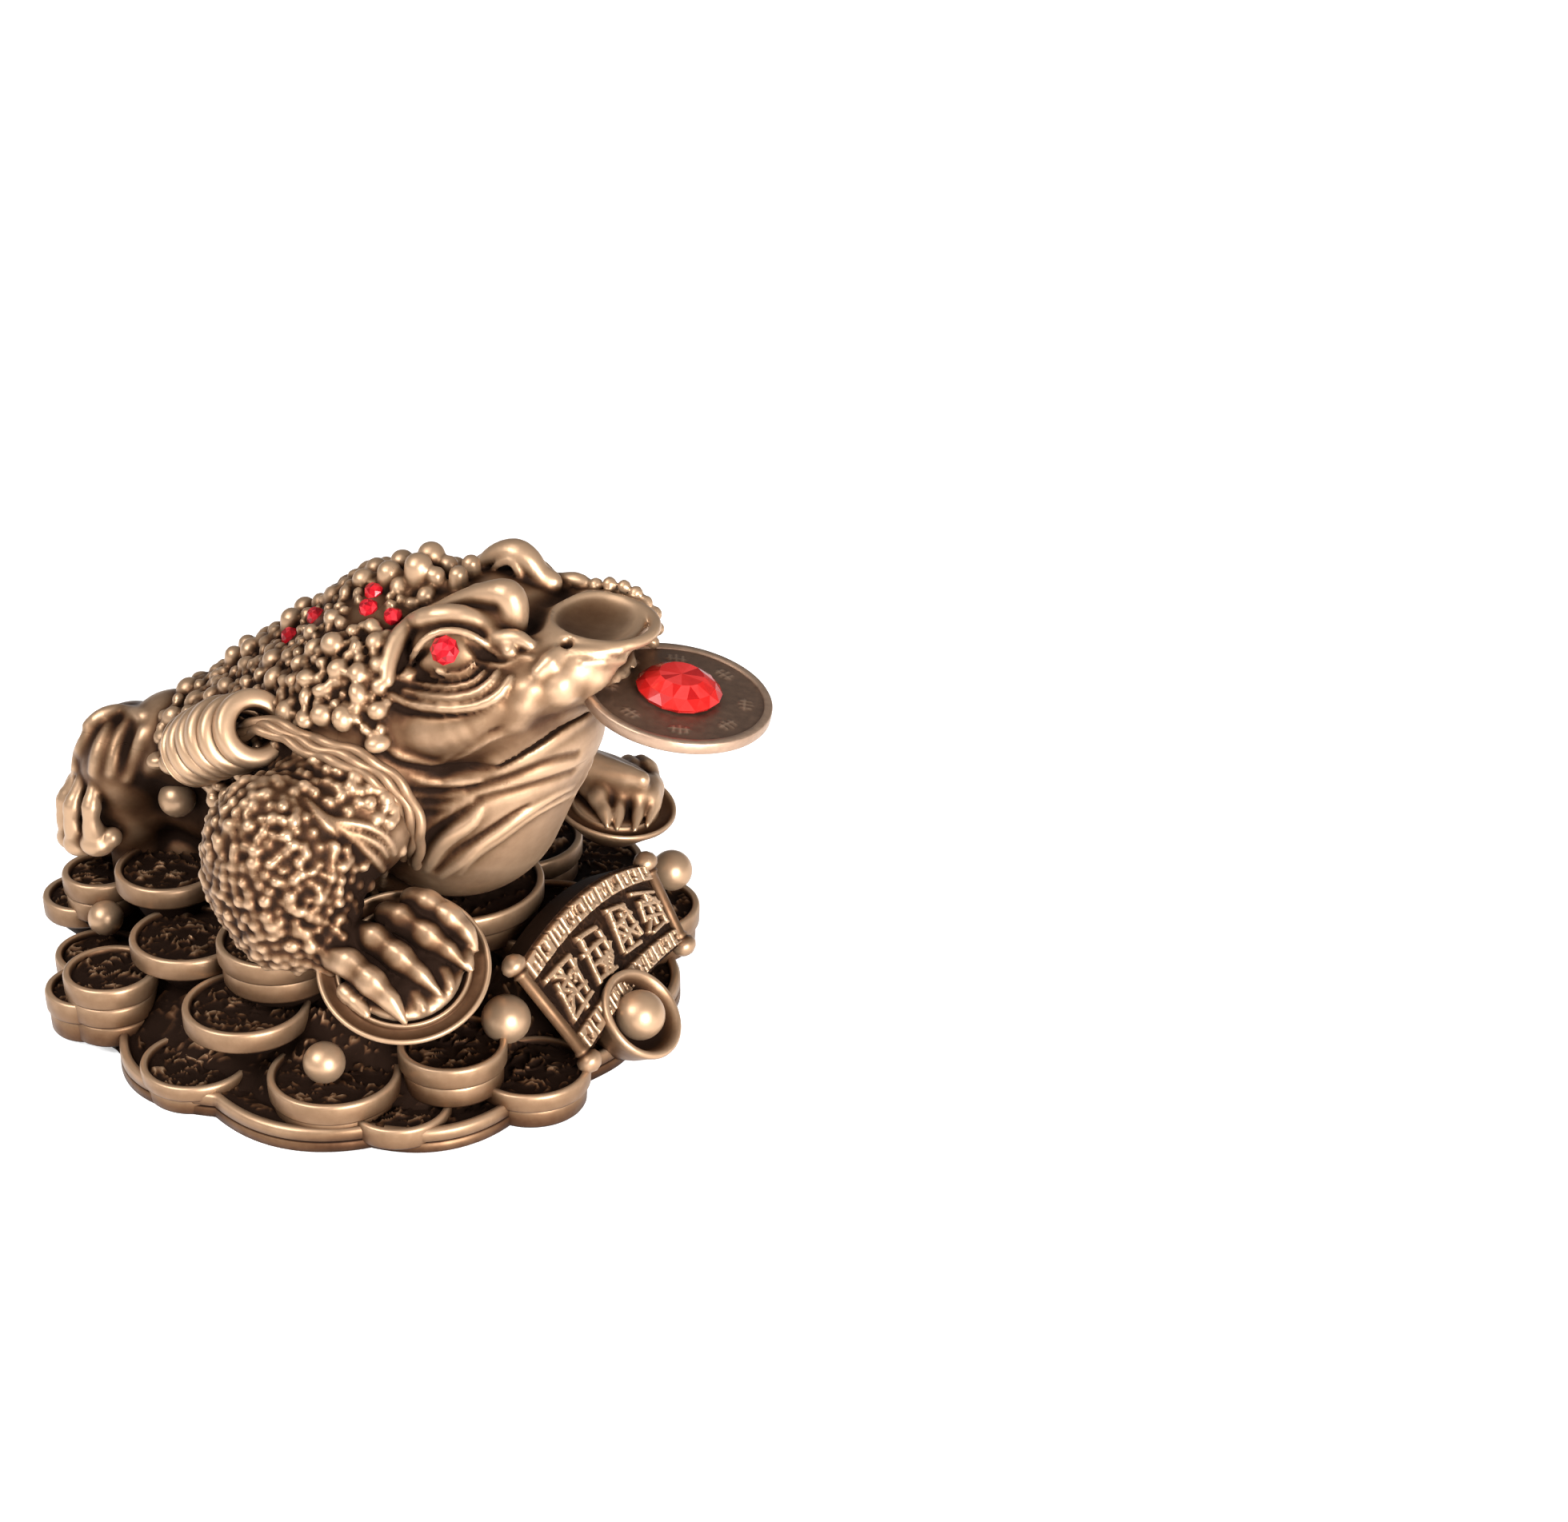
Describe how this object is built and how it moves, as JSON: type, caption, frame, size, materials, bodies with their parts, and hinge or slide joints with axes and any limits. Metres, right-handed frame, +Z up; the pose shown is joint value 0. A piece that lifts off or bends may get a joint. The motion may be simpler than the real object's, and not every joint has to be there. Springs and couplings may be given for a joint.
{
  "type": "money toad figure",
  "caption": "Three-legged toad on a round pile of coins, a loose coin with a red stone resting in its mouth and small red stones in its eyes and back.",
  "frame": {"origin": "middle of the flat underside", "axes": "+X the way the toad faces, +Y its left, +Z up"},
  "size_m": [0.103, 0.0792, 0.0667],
  "materials": {
    "bronze_finish": "bronze paint rubbed back over a near-black patina",
    "dark_coin": "darkened, with a lighter worn rim",
    "red_stone": "faceted and foiled, so it looks solid red"
  },
  "bodies": {
    "root": {"toad_on_coins": "bronze_finish", "mouth_coin": "dark_coin", "coin_gem": "red_stone", "eye_gem_right": "red_stone", "eye_gem_left": "red_stone", "back_gem_1": "red_stone", "back_gem_2": "red_stone", "back_gem_3": "red_stone", "back_gem_4": "red_stone", "back_gem_5": "red_stone", "back_gem_6": "red_stone", "back_gem_7": "red_stone"}
  },
  "joints": []
}
